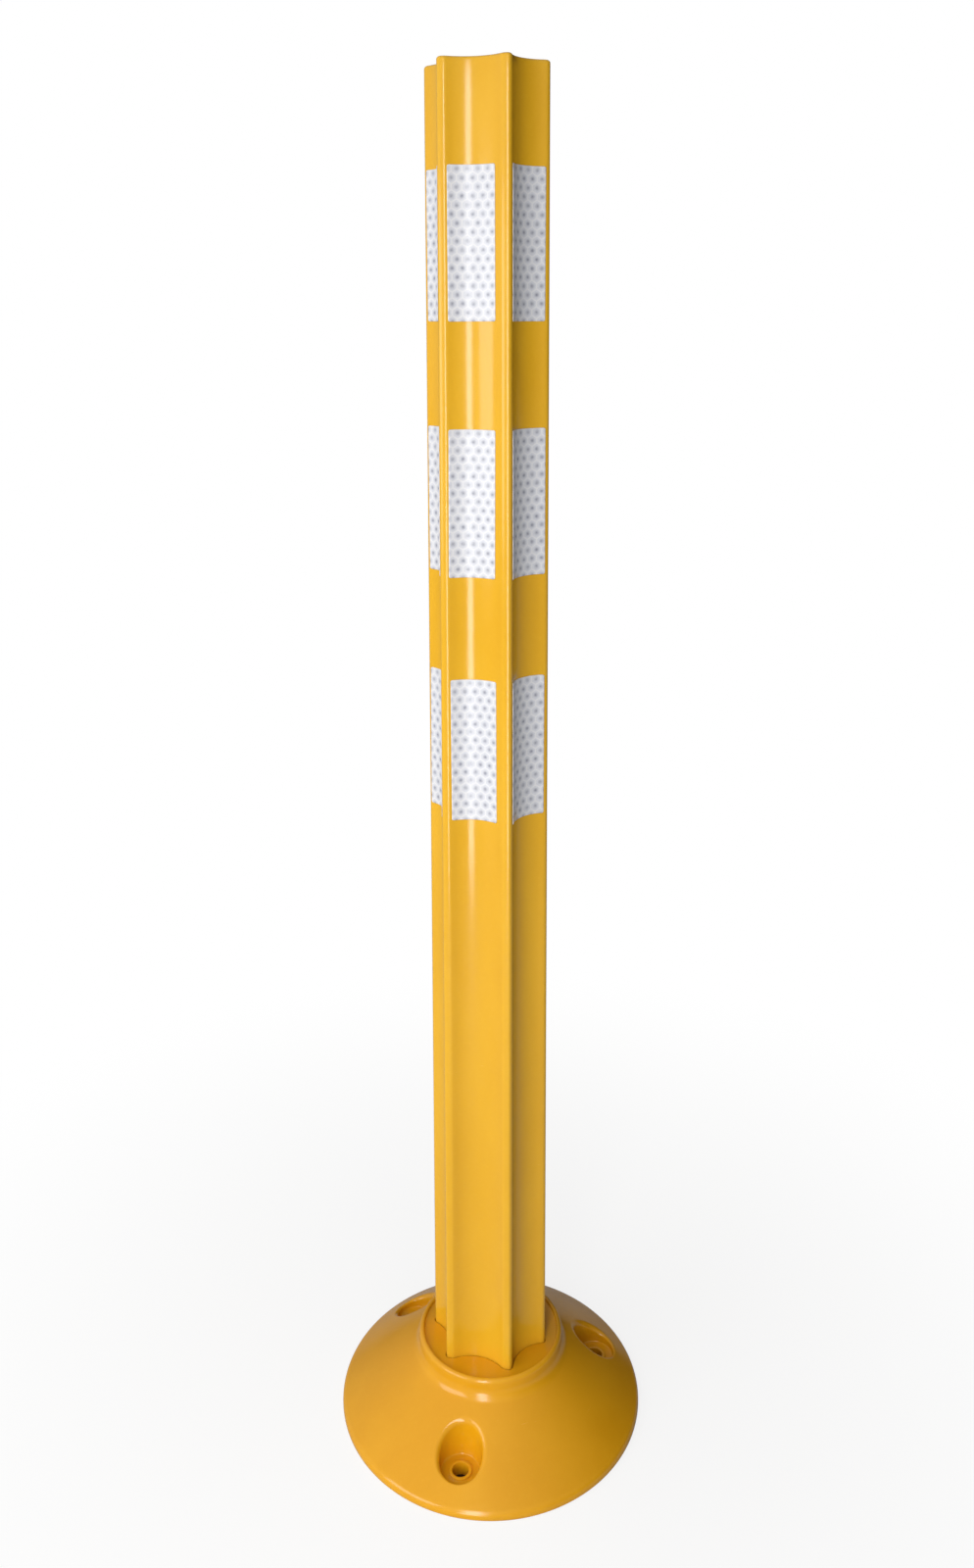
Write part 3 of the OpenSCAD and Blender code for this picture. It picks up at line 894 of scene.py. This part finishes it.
def dark_plastic(name):
    n = Nodes(name)
    place_at = n.add("ShaderNodeTexCoord").outputs["Object"]
    broad, grain = n.noise(place_at, 45, 4), n.noise(place_at, 900, 3)
    colour_now = n.mix(n.ramp(broad, 0.35, 0.7), (0.018, 0.018, 0.019), (0.035, 0.034, 0.033))
    n.set(n.shader, "Base Color", colour_now)
    n.set(n.shader, "Roughness", n.ramp(grain, 0.3, 0.7, 0.42, 0.6))
    normal = n.bump(grain, 0.35, 0.00008)
    n.set(n.shader, "Normal", n.bump(broad, 0.2, 0.0003, normal))
    return n.material


def plated_steel(name):
    n = Nodes(name)
    place_at = n.add("ShaderNodeTexCoord").outputs["Object"]
    spangle = n.add("ShaderNodeTexVoronoi", {"Vector": place_at, "Scale": 900.0}).outputs["Distance"]
    broad = n.noise(place_at, 300, 4)
    colour_now = n.mix(n.ramp(broad, 0.35, 0.7), (0.52, 0.52, 0.50), (0.68, 0.68, 0.67))
    n.set(n.shader, "Base Color", colour_now)
    n.set(n.shader, "Roughness", n.ramp(n.math("ADD", spangle, broad), 0.4, 1.2, 0.26, 0.46))
    n.set(n.shader, "Normal", n.bump(broad, 0.3, 0.00005))
    n.shader.inputs["Metallic"].default_value = 1.0
    return n.material


def paint(piece, material):
    piece.data.materials.clear()
    piece.data.materials.append(material)


def paint_node(name, material):
    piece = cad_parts[name]
    for slot in piece.material_slots:
        slot.material = material
    piece.data.shade_smooth()

# ---------------------------------------------------------------- the pieces

post = build_post()
cap = build_cap()
base = build_base()
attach(cap, "post")
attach(base, "base")

SIDES = ["front", "front_right", "rear_right", "rear", "rear_left", "front_left"]
BANDS = ["upper", "middle", "lower"]
FRONT_SHIFTS = {"upper": -2.3, "middle": -2.6, "lower": -2.0}
strips = []
for index, side in enumerate(SIDES):
    face, _ = FACES[index]
    slack = 0.9 if face is WIDE else 0.35
    for band in BANDS:
        shift = RNG.uniform(-slack, slack)
        lean = RNG.uniform(-0.35, 0.35)
        if side == "front":
            shift = FRONT_SHIFTS[band]
        strip = build_strip(f"{side}_strip_{band}", face, 60 * index, shift, lean)
        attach(strip, "post")
        strips.append(strip)

yellow = plastic("post_plastic_look", colour=(0.715, 0.39, 0.018), deep=(0.68, 0.36, 0.014),
                 pale=(0.775, 0.45, 0.035), flow=(1, 1, 0.02))
amber = plastic("base_plastic_look", colour=(0.71, 0.335, 0.007), deep=(0.675, 0.31, 0.005),
                pale=(0.77, 0.39, 0.02), flow=(1, 1, 1))
sheet_look = sheeting("sheeting_look")
paint(post, yellow)
paint(cap, yellow)
paint(base, amber)
for strip in strips:
    paint(strip, sheet_look)
paint_node("retaining_plate", dark_plastic("plate_look"))
paint_node("plate_screws", plated_steel("screw_look"))
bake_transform(post)

# ---------------------------------------------------------------- floor, light and camera

def build_floor():
    """A plain pale floor that fades into the white background. Under the base its colour is painted dark
    brown, a painted shade that shows through the base's holes.
    """
    mesh = bpy.data.meshes.new("floor")
    work = bmesh.new()
    bmesh.ops.create_grid(work, x_segments=24, y_segments=24, size=8)
    work.to_mesh(mesh)
    work.free()
    floor = bpy.data.objects.new("floor", mesh)
    bpy.context.scene.collection.objects.link(floor)
    n = Nodes("floor_look")
    n.shader.inputs["Roughness"].default_value = 0.7
    n.shader.inputs["Specular IOR Level"].default_value = 0.2
    place_at = n.add("ShaderNodeTexCoord").outputs["Object"]
    far = n.add("ShaderNodeVectorMath", {0: place_at}, operation="LENGTH").outputs["Value"]
    white = n.add("ShaderNodeEmission", {"Color": (1, 1, 1, 1), "Strength": 1.0})
    seen = n.add("ShaderNodeLightPath").outputs["Is Camera Ray"]
    outside = n.math("GREATER_THAN", far, BASE_R * MM * 0.93)
    blend = n.product(n.product(n.ramp(far, 0.08, 0.6, 0.8, 1.0), seen), outside)
    pale = n.mix(seen, (0.55, 0.55, 0.55), (0.9, 0.9, 0.9))
    # painted shade: inside the base's footprint the floor is coloured dark brown so the anchor holes look
    # shaded
    n.set(n.shader, "Base Color", n.mix(outside, (0.04, 0.022, 0.01), pale))
    mixed = n.add("ShaderNodeMixShader", {0: blend, 1: n.shader.outputs[0], 2: white.outputs[0]})
    n.tree.links.new(mixed.outputs[0], n.tree.nodes["Material Output"].inputs["Surface"])
    mesh.materials.append(n.material)


def build_world(dim, bright, azimuth, rise):
    """A soft dome of light: bright towards one side and dim opposite it. The camera sees plain white."""
    world = bpy.data.worlds.new("studio")
    world.use_nodes = True
    tree = world.node_tree
    tree.nodes.clear()
    turn, lift = math.radians(azimuth), math.radians(rise)
    towards = (math.sin(turn) * math.cos(lift), -math.cos(turn) * math.cos(lift), math.sin(lift))
    place_at = tree.nodes.new("ShaderNodeTexCoord")
    facing = tree.nodes.new("ShaderNodeVectorMath")
    facing.operation = "DOT_PRODUCT"
    facing.inputs[1].default_value = towards
    level = tree.nodes.new("ShaderNodeMapRange")
    level.interpolation_type = "SMOOTHSTEP"
    for socket, value in (("From Min", -0.5), ("From Max", 1.0), ("To Min", dim), ("To Max", bright)):
        level.inputs[socket].default_value = value
    light = tree.nodes.new("ShaderNodeBackground")
    light.inputs["Color"].default_value = (1.0, 0.99, 0.97, 1)
    seen = tree.nodes.new("ShaderNodeBackground")
    seen.inputs["Color"].default_value = (1, 1, 1, 1)
    seen.inputs["Strength"].default_value = 1.0
    path = tree.nodes.new("ShaderNodeLightPath")
    mixed = tree.nodes.new("ShaderNodeMixShader")
    out = tree.nodes.new("ShaderNodeOutputWorld")
    tree.links.new(place_at.outputs["Generated"], facing.inputs[0])
    tree.links.new(facing.outputs["Value"], level.inputs["Value"])
    tree.links.new(level.outputs[0], light.inputs["Strength"])
    tree.links.new(path.outputs["Is Camera Ray"], mixed.inputs[0])
    tree.links.new(light.outputs[0], mixed.inputs[1])
    tree.links.new(seen.outputs[0], mixed.inputs[2])
    tree.links.new(mixed.outputs[0], out.inputs[0])
    bpy.context.scene.world = world


def area_light(name, azimuth, distance, height, aim, size, power):
    """A soft box at an azimuth (from the front, towards +X), aimed at a height on the axis."""
    lamp = bpy.data.lights.new(name, "AREA")
    lamp.shape = "RECTANGLE"
    lamp.size, lamp.size_y = size
    lamp.energy = power
    holder = bpy.data.objects.new(name, lamp)
    turn = math.radians(azimuth)
    holder.location = (distance * math.sin(turn), -distance * math.cos(turn), height)
    direction = Vector((0, 0, aim)) - holder.location
    holder.rotation_euler = direction.to_track_quat("-Z", "Y").to_euler()
    holder.visible_camera = False
    bpy.context.scene.collection.objects.link(holder)


def build_camera(place_at, heading, tilt, roll, lens, shift_y):
    """A camera at a place in metres, turned by angles in degrees, as fitted to the photograph's outlines."""
    camera = bpy.data.cameras.new("camera")
    camera.sensor_fit = "AUTO"
    camera.sensor_width = 36
    camera.lens = lens
    camera.shift_y = shift_y
    holder = bpy.data.objects.new("camera", camera)
    turn = Matrix.Translation(place_at)
    for angle, axis in ((heading, "Z"), (tilt, "X"), (roll, "Z")):
        turn = turn @ Matrix.Rotation(math.radians(angle), 4, axis)
    holder.matrix_world = turn
    bpy.context.scene.collection.objects.link(holder)
    bpy.context.scene.camera = holder


build_floor()
build_world(dim=0.02, bright=0.74, azimuth=-45, rise=32)
area_light("key", azimuth=3.5, distance=0.9, height=0.55, aim=0.55, size=(0.2, 1.15), power=6.15)
area_light("side", azimuth=-40, distance=1.2, height=0.62, aim=0.05, size=(0.8, 0.6), power=5.0)
build_camera((0.2025, -0.7706, 0.7257), heading=14.79, tilt=81.49, roll=-0.15, lens=30.12, shift_y=-0.175)
bpy.context.scene.view_settings.view_transform = "Standard"
